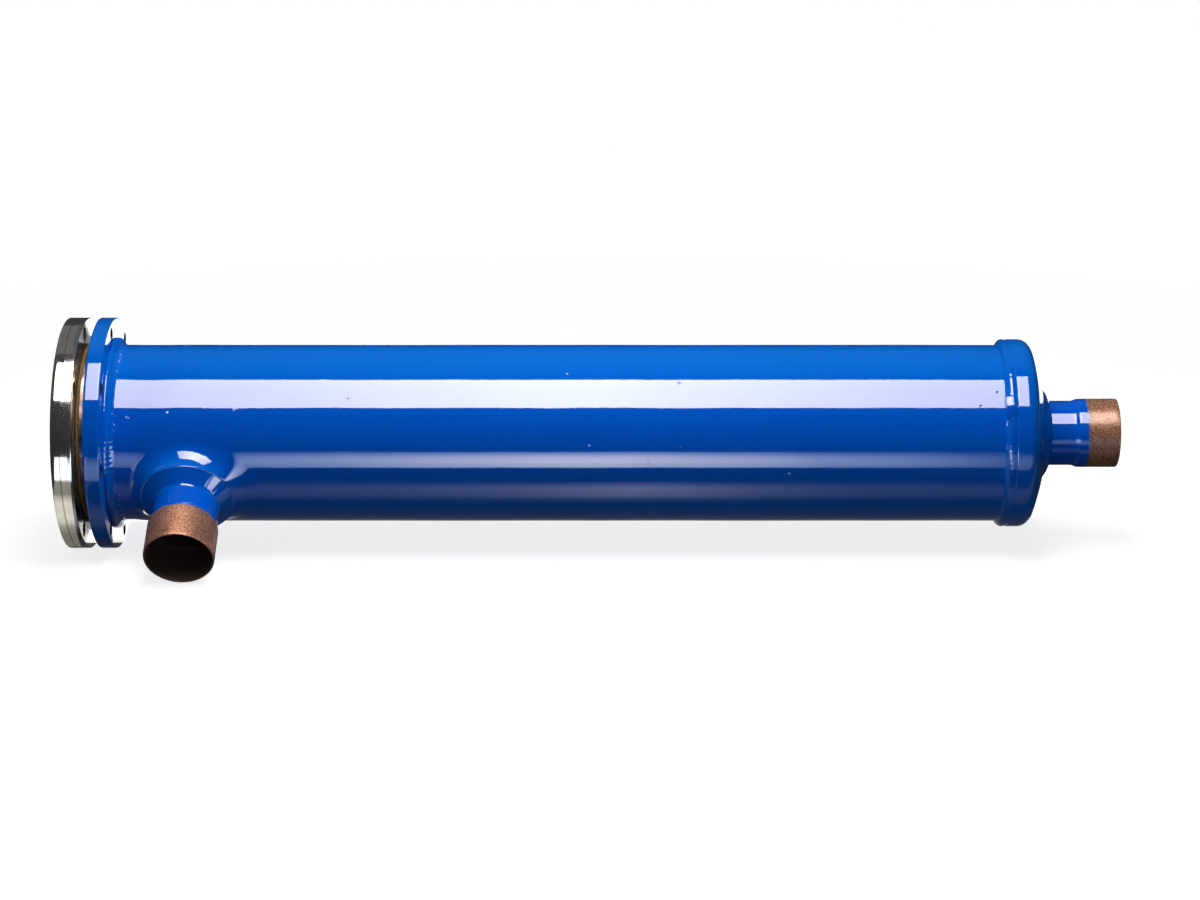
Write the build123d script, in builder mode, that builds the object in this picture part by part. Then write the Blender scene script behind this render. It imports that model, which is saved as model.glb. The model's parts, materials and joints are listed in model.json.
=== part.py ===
from build123d import *
import math
import os

# Filter drier shell with a bolted cover and replaceable cores. Millimetres and degrees.
# X runs along the shell from the cover to the outlet and Z is up. The origin is the centre
# of the bolt circle, on the face of the access flange that the hub stands on.

# Drier cores and what holds them in line
core_count = 4
core_od = 96.0
core_bore = 46.0
core_length = 137.0
felt_thickness = 1.5
felt_inset = 1.0
separator_thickness = 1.5
separator_lip = 1.0
ear_count = 3
ear_width = 12.0
ear_play = 0.55
plate_thickness = 1.5
rod_diameter = 8.0
rod_play = 0.2
nut_width = 17.0
nut_height = 6.5
rod_end = 3.0
rod_head = 14.0
arm_width = 4.0
spring_strip = 1.2
spring_width = 20.0
spring_straight = 30.0
stack_start = 27.5
stack_to_tube_end = 0.9

# Shell tube
flow_gap = 5.55
tube_wall = 3.6
slip = 0.1

# Access flange, hub and cover
flange_thickness = 10.0
hub_height = 5.2
hub_wall = 1.25
tube_socket_bottom = 2.0
gasket_thickness = 2.0
gasket_inset = 0.6
cover_thickness = 13.0
bolt_count = 8
tapped_hole = 8.5
cover_hole = 11.0
rim_width = 7.3
rim_chamfer = 0.6
rim_line_width = 1.1
rim_line_depth = 0.3
rim_line_from_outside = 5.3
flange_weld_height = 5.5
flange_weld_length = 7.0
flange_weld_bulge = 0.7
weld_to_hole = 0.5

# Dished end cap, slipped over the tube
cap_wall = 3.5
cap_skirt = 7.3
cap_knuckle = 8.0
cap_crown_radius = 150.0
cap_edge = 0.9
cap_weld_length = 6.8
cap_weld_dip = 0.3
cap_weld_flat = 2.4

# Copper connections with expanded solder sockets
socket_bore = 41.4
socket_depth = 25.0
copper_wall = 1.5
stub_outside = 41.8
flare_length = 4.5
inlet_neck = 22.1
outlet_neck = 17.0
inlet_inside = 8.5
outlet_inside = 8.0

# Drawn neck in the side of the tube, for the inlet
port_angle = 30.1
neck_wall = 8.6
neck_rise = 4.15
neck_fillet = 11.0
neck_to_flange_weld = 3.7
inlet_weld_height = 8.5
inlet_weld_bulge = 1.2
outlet_weld_height = 3.2
outlet_weld_width = 4.4
outlet_weld_bulge = 0.5

# Radii and stations that follow from the sizes above
tube_inner_radius = core_od / 2 + flow_gap
tube_radius = tube_inner_radius + tube_wall
hub_radius = tube_radius + hub_wall
bolt_radius = tube_radius + flange_weld_height + weld_to_hole + tapped_hole / 2
flange_radius = bolt_radius + rim_width
cover_inner = -hub_height - gasket_thickness
cover_outer = cover_inner - cover_thickness

core_pitch = core_length + 2 * felt_thickness + separator_thickness
stack_end = stack_start + core_count * core_pitch - separator_thickness
tube_start = tube_socket_bottom
tube_end = stack_end + stack_to_tube_end

cap_inner_radius = tube_radius + slip
cap_radius = cap_inner_radius + cap_wall
knuckle_start = tube_end + slip
cap_face = knuckle_start - cap_skirt
crown_to_knuckle = cap_crown_radius - cap_knuckle
knuckle_center_radius = cap_radius - cap_knuckle
crown_center = knuckle_start - math.sqrt(crown_to_knuckle ** 2 - knuckle_center_radius ** 2)
crown_top = crown_center + cap_crown_radius

stub_radius = stub_outside / 2
stub_inner_radius = stub_radius - copper_wall
socket_radius = socket_bore / 2
neck_radius = stub_radius + neck_wall
neck_top = tube_radius + neck_rise
flange_weld_toe = flange_thickness + flange_weld_length
port_offset = flange_weld_toe + neck_to_flange_weld + neck_fillet + neck_radius

# The inlet looks forwards and down, and bolt holes and plate ears straddle its direction
port_down = math.radians(port_angle)
port_direction = (0, -math.cos(port_down), -math.sin(port_down))
port_plane = Plane(origin=(port_offset, 0, 0), x_dir=(1, 0, 0), z_dir=port_direction)
port_axis = Axis((port_offset, 0, 0), port_direction)
port_section = Plane(
    origin=(port_offset, 0, 0),
    x_dir=port_direction,
    z_dir=(0, math.sin(port_down), -math.cos(port_down)),
)
first_hole = 180 + port_angle + 180 / bolt_count
first_ear = 180 + port_angle + 180 / ear_count

os.makedirs("parts", exist_ok=True)


def crown_station(r, radius, center):
    """Station of a crown sphere at the distance r from the axis."""
    return center + math.sqrt(radius ** 2 - r ** 2)


# Shell tube with its drawn neck. The neck starts as a tall boss, so that the large fillet
# finds wall all round, and is then planed off just above the tube.
with BuildPart() as shell_tube:
    with BuildSketch(Plane.YZ.offset(tube_start)):
        Circle(tube_radius)
    extrude(amount=tube_end - tube_start)
    with BuildSketch(port_plane):
        Circle(neck_radius)
    extrude(amount=tube_radius + 2 * neck_fillet)
    foot = [e for e in shell_tube.edges() if e.geom_type not in (GeomType.CIRCLE, GeomType.LINE)]
    fillet(foot, radius=neck_fillet)
    split(bisect_by=port_plane.offset(neck_top), keep=Keep.BOTTOM)
    with BuildSketch(Plane.YZ.offset(tube_start)):
        Circle(tube_inner_radius)
    extrude(amount=tube_end - tube_start, mode=Mode.SUBTRACT)
    with BuildSketch(port_plane):
        Circle(stub_radius + slip)
    extrude(amount=neck_top + 1, mode=Mode.SUBTRACT)
shell_tube.part.label = "shell_tube"
export_step(shell_tube.part, "parts/shell_tube.step")

# Access flange: a turned ring with a hub in front and a socket for the tube behind
with BuildPart() as shell_flange:
    with BuildSketch(Plane.XZ):
        with BuildLine():
            Polyline(
                (-hub_height, tube_inner_radius),
                (-hub_height, hub_radius),
                (0, hub_radius),
                (0, flange_radius),
                (flange_thickness, flange_radius),
                (flange_thickness, tube_radius + slip),
                (tube_socket_bottom, tube_radius + slip),
                (tube_socket_bottom, tube_inner_radius),
                close=True,
            )
        make_face()
    revolve(axis=Axis.X)
    rims = shell_flange.edges().filter_by(GeomType.CIRCLE).group_by(SortBy.RADIUS)[-1]
    chamfer(rims, length=rim_chamfer)
    with BuildSketch(Plane.YZ):
        with PolarLocations(bolt_radius, bolt_count, start_angle=first_hole):
            Circle(tapped_hole / 2)
    extrude(amount=flange_thickness, mode=Mode.SUBTRACT)
shell_flange.part.label = "shell_flange"
export_step(shell_flange.part, "parts/shell_flange.step")

# Fillet weld behind the flange, long leg on the tube, with a full face
with BuildPart() as flange_weld:
    with BuildSketch(Plane.XZ):
        top = (flange_thickness, tube_radius + flange_weld_height)
        toe = (flange_weld_toe, tube_radius)
        slope = math.hypot(flange_weld_length, flange_weld_height)
        middle = (
            (top[0] + toe[0]) / 2 + flange_weld_bulge * flange_weld_height / slope,
            (top[1] + toe[1]) / 2 + flange_weld_bulge * flange_weld_length / slope,
        )
        with BuildLine():
            Line((flange_thickness, tube_radius), top)
            ThreePointArc(top, middle, toe)
            Line(toe, (flange_thickness, tube_radius))
        make_face()
    revolve(axis=Axis.X)
flange_weld.part.label = "flange_weld"
export_step(flange_weld.part, "parts/flange_weld.step")

# Blind cover: a turned disc with a fine line cut into its rim
with BuildPart() as cover:
    with BuildSketch(Plane.YZ.offset(cover_outer)):
        Circle(flange_radius)
    extrude(amount=cover_thickness)
    chamfer(cover.edges().filter_by(GeomType.CIRCLE), length=rim_chamfer)
    with BuildSketch(Plane.YZ.offset(cover_outer + rim_line_from_outside)):
        Circle(flange_radius + 1)
        Circle(flange_radius - rim_line_depth, mode=Mode.SUBTRACT)
    extrude(amount=rim_line_width, mode=Mode.SUBTRACT)
    with BuildSketch(Plane.YZ.offset(cover_outer)):
        with PolarLocations(bolt_radius, bolt_count, start_angle=first_hole):
            Circle(cover_hole / 2)
    extrude(amount=cover_thickness, mode=Mode.SUBTRACT)
cover.part.label = "cover"
export_step(cover.part, "parts/cover.step")

# Flat gasket on the hub
with BuildPart() as cover_gasket:
    with BuildSketch(Plane.YZ.offset(cover_inner)):
        Circle(hub_radius - gasket_inset)
        Circle(tube_inner_radius, mode=Mode.SUBTRACT)
    extrude(amount=gasket_thickness)
cover_gasket.part.label = "cover_gasket"
export_step(cover_gasket.part, "parts/cover_gasket.step")

# End cap: skirt, knuckle and shallow crown, all of one wall
with BuildPart() as end_cap:
    inner_crown = cap_crown_radius - cap_wall
    with BuildSketch(Plane.XZ):
        lean = math.asin(knuckle_center_radius / crown_to_knuckle)
        blend = (crown_center + cap_crown_radius * math.cos(lean), cap_crown_radius * math.sin(lean))
        inner_blend = (crown_center + inner_crown * math.cos(lean), inner_crown * math.sin(lean))
        half = (math.pi / 2 + lean) / 2
        turn = (knuckle_start + cap_knuckle * math.cos(half),
                knuckle_center_radius + cap_knuckle * math.sin(half))
        inner_turn = (knuckle_start + (cap_knuckle - cap_wall) * math.cos(half),
                      knuckle_center_radius + (cap_knuckle - cap_wall) * math.sin(half))
        on_crown = (crown_center + cap_crown_radius * math.cos(lean / 2),
                    cap_crown_radius * math.sin(lean / 2))
        on_inner_crown = (crown_center + inner_crown * math.cos(lean / 2),
                          inner_crown * math.sin(lean / 2))
        rounding = cap_edge * (1 - math.sqrt(0.5))
        with BuildLine():
            Line((cap_face, cap_inner_radius), (cap_face, cap_radius - cap_edge))
            ThreePointArc((cap_face, cap_radius - cap_edge),
                          (cap_face + rounding, cap_radius - rounding),
                          (cap_face + cap_edge, cap_radius))
            Line((cap_face + cap_edge, cap_radius), (knuckle_start, cap_radius))
            ThreePointArc((knuckle_start, cap_radius), turn, blend)
            ThreePointArc(blend, on_crown, (crown_top, 0))
            Line((crown_top, 0), (crown_top - cap_wall, 0))
            ThreePointArc((crown_top - cap_wall, 0), on_inner_crown, inner_blend)
            ThreePointArc(inner_blend, inner_turn, (knuckle_start, cap_inner_radius))
            Line((knuckle_start, cap_inner_radius), (cap_face, cap_inner_radius))
        make_face()
    revolve(axis=Axis.X)
    with BuildSketch(Plane.YZ.offset(knuckle_start)):
        Circle(stub_radius + slip)
    extrude(amount=crown_top - knuckle_start + 1, mode=Mode.SUBTRACT)
end_cap.part.label = "end_cap"
export_step(end_cap.part, "parts/end_cap.step")

# Full fillet weld between the tube and the face of the cap
with BuildPart() as cap_weld:
    with BuildSketch(Plane.XZ):
        weld_toe = (cap_face - cap_weld_length, tube_radius)
        weld_shoulder = (cap_face - cap_weld_flat, cap_radius - cap_weld_dip)
        weld_edge = (cap_face - cap_edge, cap_radius - cap_weld_dip)
        weld_end = (cap_face, cap_radius - cap_edge)
        with BuildLine():
            Line((cap_face, tube_radius), weld_toe)
            TangentArc(weld_shoulder, weld_toe, tangent=(-1, 0))
            Line(weld_shoulder, weld_edge)
            Line(weld_edge, weld_end)
            Line(weld_end, (cap_face, tube_radius))
        make_face()
    revolve(axis=Axis.X)
cap_weld.part.label = "cap_weld"
export_step(cap_weld.part, "parts/cap_weld.step")


def connection_section(inner_end, flare_start):
    """Half section of a copper connection: points at (distance along its axis, radius)."""
    socket_end = flare_start + flare_length
    mouth = socket_end + socket_depth
    return [
        (inner_end, stub_inner_radius),
        (inner_end, stub_radius),
        (flare_start, stub_radius),
        (socket_end, socket_radius + copper_wall),
        (mouth, socket_radius + copper_wall),
        (mouth, socket_radius),
        (socket_end, socket_radius),
        (flare_start, stub_inner_radius),
    ]


# Inlet connection, along the port's own axis
with BuildPart() as inlet_connection:
    with BuildSketch(port_section):
        with BuildLine():
            Polyline(*connection_section(neck_top - inlet_inside, neck_top + inlet_neck), close=True)
        make_face()
    revolve(axis=port_axis)
inlet_connection.part.label = "inlet_connection"
export_step(inlet_connection.part, "parts/inlet_connection.step")

# Weld from the planed neck up to the inlet connection
with BuildPart() as inlet_weld:
    with BuildSketch(port_section):
        foot_point = (neck_top, neck_radius)
        stub_point = (neck_top + inlet_weld_height, stub_radius)
        face_length = math.hypot(inlet_weld_height, neck_wall)
        face_middle = (
            (foot_point[0] + stub_point[0]) / 2 + inlet_weld_bulge * neck_wall / face_length,
            (foot_point[1] + stub_point[1]) / 2 + inlet_weld_bulge * inlet_weld_height / face_length,
        )
        with BuildLine():
            Line((neck_top, stub_radius), foot_point)
            ThreePointArc(foot_point, face_middle, stub_point)
            Line(stub_point, (neck_top, stub_radius))
        make_face()
    revolve(axis=port_axis)
inlet_weld.part.label = "inlet_weld"
export_step(inlet_weld.part, "parts/inlet_weld.step")

# Outlet connection, on the shell's axis
with BuildPart() as outlet_connection:
    with BuildSketch(Plane.XZ):
        with BuildLine():
            Polyline(
                *connection_section(crown_top - cap_wall - outlet_inside, crown_top + outlet_neck),
                close=True,
            )
        make_face()
    revolve(axis=Axis.X)
outlet_connection.part.label = "outlet_connection"
export_step(outlet_connection.part, "parts/outlet_connection.step")

# Small weld between the crown of the cap and the outlet connection
with BuildPart() as outlet_weld:
    with BuildSketch(Plane.XZ):
        toe_radius = stub_radius + outlet_weld_width
        inner_foot = (crown_station(stub_radius, cap_crown_radius, crown_center), stub_radius)
        outer_foot = (crown_station(toe_radius, cap_crown_radius, crown_center), toe_radius)
        mid_foot_radius = stub_radius + outlet_weld_width / 2
        mid_foot = (crown_station(mid_foot_radius, cap_crown_radius, crown_center), mid_foot_radius)
        crest = (inner_foot[0] + outlet_weld_height, stub_radius)
        crest_middle = ((crest[0] + outer_foot[0]) / 2 + outlet_weld_bulge,
                        (crest[1] + outer_foot[1]) / 2 + outlet_weld_bulge)
        with BuildLine():
            ThreePointArc(inner_foot, mid_foot, outer_foot)
            ThreePointArc(outer_foot, crest_middle, crest)
            Line(crest, inner_foot)
        make_face()
    revolve(axis=Axis.X)
outlet_weld.part.label = "outlet_weld"
export_step(outlet_weld.part, "parts/outlet_weld.step")

# Outlet seat: the stack stands on its plate, and its collar slides into the outlet
seat_face = stack_end
seat_back = seat_face + plate_thickness
collar_radius = stub_inner_radius - slip
collar_end = crown_top - cap_wall - outlet_inside + socket_depth / 4
arm_length = collar_radius - plate_thickness / 2
with BuildPart() as outlet_seat:
    with BuildSketch(Plane.YZ.offset(seat_face)):
        Circle(core_od / 2 + separator_lip)
        Circle(collar_radius - plate_thickness, mode=Mode.SUBTRACT)
    extrude(amount=plate_thickness)
    with BuildSketch(Plane.YZ.offset(seat_face)):
        Circle(collar_radius)
        Circle(collar_radius - plate_thickness, mode=Mode.SUBTRACT)
    extrude(amount=collar_end - seat_face)
    with BuildSketch(Plane.YZ.offset(seat_face)):
        Circle(rod_head / 2)
        with PolarLocations(arm_length / 2, ear_count, start_angle=first_ear):
            Rectangle(arm_length, arm_width)
        Circle((rod_diameter + rod_play) / 2, mode=Mode.SUBTRACT)
    extrude(amount=plate_thickness)
outlet_seat.part.label = "outlet_seat"
export_step(outlet_seat.part, "parts/outlet_seat.step")


def eared_plate(bore):
    """Plate that centres a core: a disc a little wider than the core, with ears to the tube."""
    reach = tube_inner_radius - ear_play
    Circle(core_od / 2 + separator_lip)
    with PolarLocations(reach / 2, ear_count, start_angle=first_ear):
        Rectangle(reach, ear_width)
    Circle(reach, mode=Mode.INTERSECT)
    Circle(bore / 2, mode=Mode.SUBTRACT)


# Cores with a felt ring on each end, and separators between them
for index in range(core_count):
    start = stack_start + index * core_pitch
    with BuildPart() as core:
        with BuildSketch(Plane.YZ.offset(start + felt_thickness)):
            Circle(core_od / 2)
            Circle(core_bore / 2, mode=Mode.SUBTRACT)
        extrude(amount=core_length)
    core.part.label = f"core_{index + 1}"
    export_step(core.part, f"parts/core_{index + 1}.step")

    for side, station in (("a", start), ("b", start + felt_thickness + core_length)):
        with BuildPart() as felt:
            with BuildSketch(Plane.YZ.offset(station)):
                Circle(core_od / 2 - felt_inset)
                Circle(core_bore / 2 + felt_inset, mode=Mode.SUBTRACT)
            extrude(amount=felt_thickness)
        felt.part.label = f"felt_{index + 1}{side}"
        export_step(felt.part, f"parts/felt_{index + 1}{side}.step")

    if index < core_count - 1:
        with BuildPart() as separator:
            with BuildSketch(Plane.YZ.offset(start + core_pitch - separator_thickness)):
                eared_plate(core_bore)
            extrude(amount=separator_thickness)
        separator.part.label = f"separator_{index + 1}"
        export_step(separator.part, f"parts/separator_{index + 1}.step")

# Top plate, which closes the bore of the first core
with BuildPart() as top_plate:
    with BuildSketch(Plane.YZ.offset(stack_start - plate_thickness)):
        eared_plate(rod_diameter + rod_play)
    extrude(amount=plate_thickness)
top_plate.part.label = "top_plate"
export_step(top_plate.part, "parts/top_plate.step")

# Tie rod from behind the seat to the nut, with a flat head at the seat
spring_length = stack_start - plate_thickness - cover_inner
nut_back = stack_start - plate_thickness - spring_strip
with BuildPart() as tie_rod:
    with BuildSketch(Plane.YZ.offset(nut_back - nut_height - rod_end)):
        Circle(rod_diameter / 2)
    extrude(amount=seat_back - nut_back + nut_height + rod_end)
    with BuildSketch(Plane.YZ.offset(seat_back)):
        Circle(rod_head / 2)
    extrude(amount=rod_diameter / 2)
tie_rod.part.label = "tie_rod"
export_step(tie_rod.part, "parts/tie_rod.step")

# Nut on the tie rod
with BuildPart() as rod_nut:
    with BuildSketch(Plane.YZ.offset(nut_back - nut_height)):
        RegularPolygon(nut_width / 2, 6, major_radius=False, rotation=port_angle)
        Circle(rod_diameter / 2, mode=Mode.SUBTRACT)
    extrude(amount=nut_height)
rod_nut.part.label = "rod_nut"
export_step(rod_nut.part, "parts/rod_nut.step")

# Hoop spring between the cover and the top plate: a steel strap bent to an oval, whose foot
# is held under the nut
spring_middle = cover_inner + spring_length / 2
hoop_plane = Plane(
    origin=(spring_middle, 0, 0), x_dir=port_section.x_dir, z_dir=port_section.z_dir
)
with BuildPart() as core_spring:
    with BuildSketch(hoop_plane):
        SlotCenterToCenter(spring_straight, spring_length)
        SlotCenterToCenter(spring_straight, spring_length - 2 * spring_strip, mode=Mode.SUBTRACT)
    extrude(amount=spring_width / 2, both=True)
    with BuildSketch(Plane.YZ.offset(spring_middle)):
        Circle((rod_diameter + rod_play) / 2)
    extrude(amount=spring_length / 2, mode=Mode.SUBTRACT)
core_spring.part.label = "core_spring"
export_step(core_spring.part, "parts/core_spring.step")

mouth = neck_top + inlet_neck + flare_length + socket_depth
outlet_mouth = crown_top + outlet_neck + flare_length + socket_depth
print(f"tube od {2 * tube_radius:.2f}, wall {tube_wall}, from {tube_start:.2f} to {tube_end:.2f}")
print(f"flange od {2 * flange_radius:.2f}, bolt circle {2 * bolt_radius:.2f}")
print(f"cap od {2 * cap_radius:.2f}, face {cap_face:.2f}, crown {crown_top:.2f}")
print(f"inlet at {port_offset:.2f}, neck {neck_top:.2f}, mouth {mouth:.2f} from the axis")
print(f"outlet mouth {outlet_mouth:.2f}, overall {outlet_mouth - cover_outer:.2f}")
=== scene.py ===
import json
import math

import bmesh
import bpy
import numpy as np
from bpy.props import FloatProperty, FloatVectorProperty, IntProperty, PointerProperty
from bpy.types import Operator, Panel, PropertyGroup
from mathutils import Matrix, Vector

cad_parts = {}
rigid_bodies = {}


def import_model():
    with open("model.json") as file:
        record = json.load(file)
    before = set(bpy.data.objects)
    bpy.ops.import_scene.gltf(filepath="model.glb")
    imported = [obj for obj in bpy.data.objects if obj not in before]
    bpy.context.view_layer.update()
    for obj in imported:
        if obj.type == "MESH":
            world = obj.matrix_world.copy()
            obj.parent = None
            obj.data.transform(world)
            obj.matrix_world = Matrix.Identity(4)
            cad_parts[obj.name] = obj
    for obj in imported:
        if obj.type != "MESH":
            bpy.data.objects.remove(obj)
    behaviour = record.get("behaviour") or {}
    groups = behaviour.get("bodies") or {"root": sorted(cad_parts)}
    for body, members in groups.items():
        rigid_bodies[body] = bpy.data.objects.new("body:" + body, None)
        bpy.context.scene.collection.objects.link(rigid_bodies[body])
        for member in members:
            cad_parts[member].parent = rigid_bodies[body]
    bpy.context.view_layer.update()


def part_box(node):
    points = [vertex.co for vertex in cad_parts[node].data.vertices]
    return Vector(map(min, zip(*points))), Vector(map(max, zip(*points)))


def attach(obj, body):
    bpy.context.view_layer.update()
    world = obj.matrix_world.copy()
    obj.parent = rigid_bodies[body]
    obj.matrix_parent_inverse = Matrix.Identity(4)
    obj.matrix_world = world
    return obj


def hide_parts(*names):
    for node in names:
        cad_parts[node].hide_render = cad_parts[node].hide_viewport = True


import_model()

bl_info = {
    "name": "Filter Drier Shell",
    "version": (1, 0, 0),
    "blender": (4, 5, 0),
    "location": "View3D > Sidebar > Drier Shell",
    "description": "Surfaces and finishes of a filter drier shell with copper connections",
    "category": "Object",
}


# Sizes and colours

def length(name, description, default):
    """A length property in metres."""
    return FloatProperty(name=name, description=description, default=default,
                         unit="LENGTH", subtype="DISTANCE", precision=5)


def angle(name, description, degrees):
    """An angle property, its default given in degrees."""
    return FloatProperty(name=name, description=description, default=math.radians(degrees),
                         subtype="ANGLE", unit="ROTATION")


def colour(name, description, default):
    """A linear colour property."""
    return FloatVectorProperty(name=name, description=description, default=default,
                               size=3, min=0.0, max=1.0, subtype="COLOR")


class DrierShellSizes(PropertyGroup):
    """Sizes of the shell, in metres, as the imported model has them"""

    tube_radius: length("Tube radius", "Outside radius of the shell tube", 0.05715)
    tube_bore: length("Tube bore radius", "Inside radius of the shell tube", 0.05355)
    tube_start: length("Tube start", "Station of the tube's end in the flange", 0.002)
    tube_end: length("Tube end", "Station of the tube's end in the cap", 0.5929)
    port_offset: length("Port offset", "Station of the inlet's axis", 0.0612)
    port_angle: angle("Port angle", "How far the inlet looks down", 30.1)
    neck_radius: length("Neck radius", "Radius of the drawn neck", 0.0295)
    neck_blend: length("Neck blend", "Radius of the blend between tube and neck", 0.0155)
    neck_blend_far: length("Neck blend, far side", "How much wider it is away from the flange", 0.016)
    neck_top: length("Neck top", "Distance of the planed neck from the shell's axis", 0.0613)
    neck_lip: length("Neck lip", "Size of the round over the neck's lip", 0.0009)
    stub_radius: length("Stub radius", "Outside radius of a connection", 0.0209)
    stub_bore: length("Stub bore radius", "Inside radius of a connection", 0.0194)
    socket_radius: length("Socket radius", "Outside radius of a solder socket", 0.0222)
    socket_bore: length("Socket bore radius", "Inside radius of a solder socket", 0.0207)
    socket_depth: length("Socket depth", "Depth of a solder socket", 0.025)
    flare_length: length("Flare length", "Length of the step up to the socket", 0.0045)
    inlet_flare: length("Inlet flare", "Where the inlet starts to widen", 0.0834)
    outlet_flare: length("Outlet flare", "Where the outlet starts to widen", 0.62816)
    inlet_inner: length("Inlet inner end", "Inner end of the inlet connection", 0.0528)
    outlet_inner: length("Outlet inner end", "Inner end of the outlet connection", 0.59966)
    inlet_paint: length("Inlet paint edge", "Where the inlet's paint ends", 0.0865)
    outlet_paint: length("Outlet paint edge", "Where the outlet's paint ends", 0.6370)
    flange_radius: length("Flange radius", "Outside radius of flange and cover", 0.0747)
    flange_thickness: length("Flange thickness", "Thickness of the access flange", 0.010)
    hub_radius: length("Hub radius", "Outside radius of the turned hub", 0.0584)
    hub_height: length("Hub height", "Height of the hub over the flange", 0.0052)
    gasket_thickness: length("Gasket thickness", "Thickness of the flat gasket", 0.002)
    cover_thickness: length("Cover thickness", "Thickness of the cover", 0.013)
    groove_offset: length("Groove offset", "From the cover's outer face to its groove", 0.00585)
    groove_size: length("Groove size", "Half width and depth of the groove", 0.00045)
    bolt_radius: length("Bolt circle radius", "Radius of the bolt circle", 0.0674)
    flange_hole: length("Flange hole radius", "Radius of the flange's holes", 0.00425)
    cover_hole: length("Cover hole radius", "Radius of the cover's holes", 0.0055)
    cap_radius: length("Cap radius", "Outside radius of the end cap", 0.06075)
    cap_face: length("Cap face", "Station of the cap's open edge", 0.5857)
    knuckle_start: length("Knuckle start", "Station where the cap's knuckle begins", 0.5930)
    knuckle_radius: length("Knuckle radius", "Radius of the cap's knuckle", 0.008)
    crown_radius: length("Crown radius", "Radius of the cap's crown", 0.150)
    cap_wall: length("Cap wall", "Wall of the end cap", 0.0035)
    clearance: length("Clearance", "Between a bore and what stands in it", 0.0001)
    round_steps: IntProperty(name="Steps round", description="Facets round the shell", default=288)


class DrierShellFinish(PropertyGroup):
    """Colours of the finishes"""

    paint: colour("Paint", "Gloss blue of the shell, seen straight on", (0.0, 0.098, 0.60))
    slant: colour("Paint at a slant", "The same blue at the edges", (0.0, 0.138, 0.61))
    steel: colour("Turned steel", "Bare steel of the cover", (0.60, 0.585, 0.56))
    tint: colour("Heat tint", "Brown tint of the hub", (0.24, 0.18, 0.14))
    copper: colour("Copper", "Dull copper of the connections", (0.355, 0.140, 0.078))
    fibre: colour("Fibre", "Flat gasket", (0.27, 0.145, 0.032))


class DrierShellStage(PropertyGroup):
    """Camera and light"""

    camera_distance: length("Camera distance", "From the lens to the shell's axis", 1.851)
    camera_rise: angle("Camera rise", "How far the camera looks down", 14.0)
    lens: FloatProperty(name="Lens", description="Focal length in millimetres", default=85.5)
    middle: length("Middle", "Station that the camera looks at", 0.323)
    drop: length("Drop", "How far below the axis the camera aims", 0.0112)
    lamp_level: FloatProperty(name="Lamp level", description="Radiance of the soft lamp", default=6.7)
    softbox_level: FloatProperty(name="Softbox level", description="Brightness of its reflection",
                                 default=22.0)


def sizes():
    return bpy.context.scene.drier_shell_sizes


def finish_colours():
    return bpy.context.scene.drier_shell_finish


def stage_values():
    return bpy.context.scene.drier_shell_stage


# Mesh making: grids of points, joined by quads

class Skin:
    """Points and quads of one piece, gathered block by block."""

    def __init__(self):
        self.points = []
        self.quads = []
        self.total = 0

    def add(self, points):
        """Keeps an array of points and returns their numbers in the same shape."""
        points = np.asarray(points, float)
        self.points.append(points.reshape(-1, 3))
        numbers = self.total + np.arange(points.size // 3).reshape(points.shape[:-1])
        self.total += points.size // 3
        return numbers

    def where(self, numbers):
        """Positions of the given point numbers."""
        return np.concatenate(self.points)[numbers]

    def sheet(self, grid, rows_close=False, columns_close=True, holes=()):
        """Quads over a grid of point numbers, apart from windows (row, row, column, column)."""
        if rows_close:
            grid = np.vstack([grid, grid[:1]])
        if columns_close:
            grid = np.hstack([grid, grid[:, :1]])
        quads = np.stack([grid[:-1, :-1], grid[1:, :-1], grid[1:, 1:], grid[:-1, 1:]], -1)
        keep = np.ones(quads.shape[:2], bool)
        for low, high, left, right in holes:
            keep[low:high, left:right] = False
        self.quads.append(quads[keep])

    def fan(self, edge, rings):
        """Carries a closed edge of point numbers inwards over rings of points."""
        numbers = self.add(rings)
        self.sheet(np.vstack([edge[None, :], numbers]))
        return numbers[-1]

    def bridge(self, first, last, steps=1):
        """Straight wall between two closed edges of equal length."""
        a, b = self.where(first), self.where(last)
        w = np.linspace(0, 1, steps + 1)[1:-1, None, None]
        middle = self.add((1 - w) * a + w * b) if steps > 1 else np.empty((0, len(first)), int)
        self.sheet(np.vstack([first[None, :], middle, last[None, :]]))


def window_edge(rows, left, right):
    """Row and column numbers along a window's edge, once round."""
    across = np.arange(left, right + 1)
    r = np.concatenate([np.full(len(across), rows[0]), rows[1:],
                        np.full(len(across) - 1, rows[-1]), rows[-2:0:-1]])
    c = np.concatenate([across, np.full(len(rows) - 1, right),
                        across[-2::-1], np.full(len(rows) - 2, left)])
    return r, c


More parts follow.
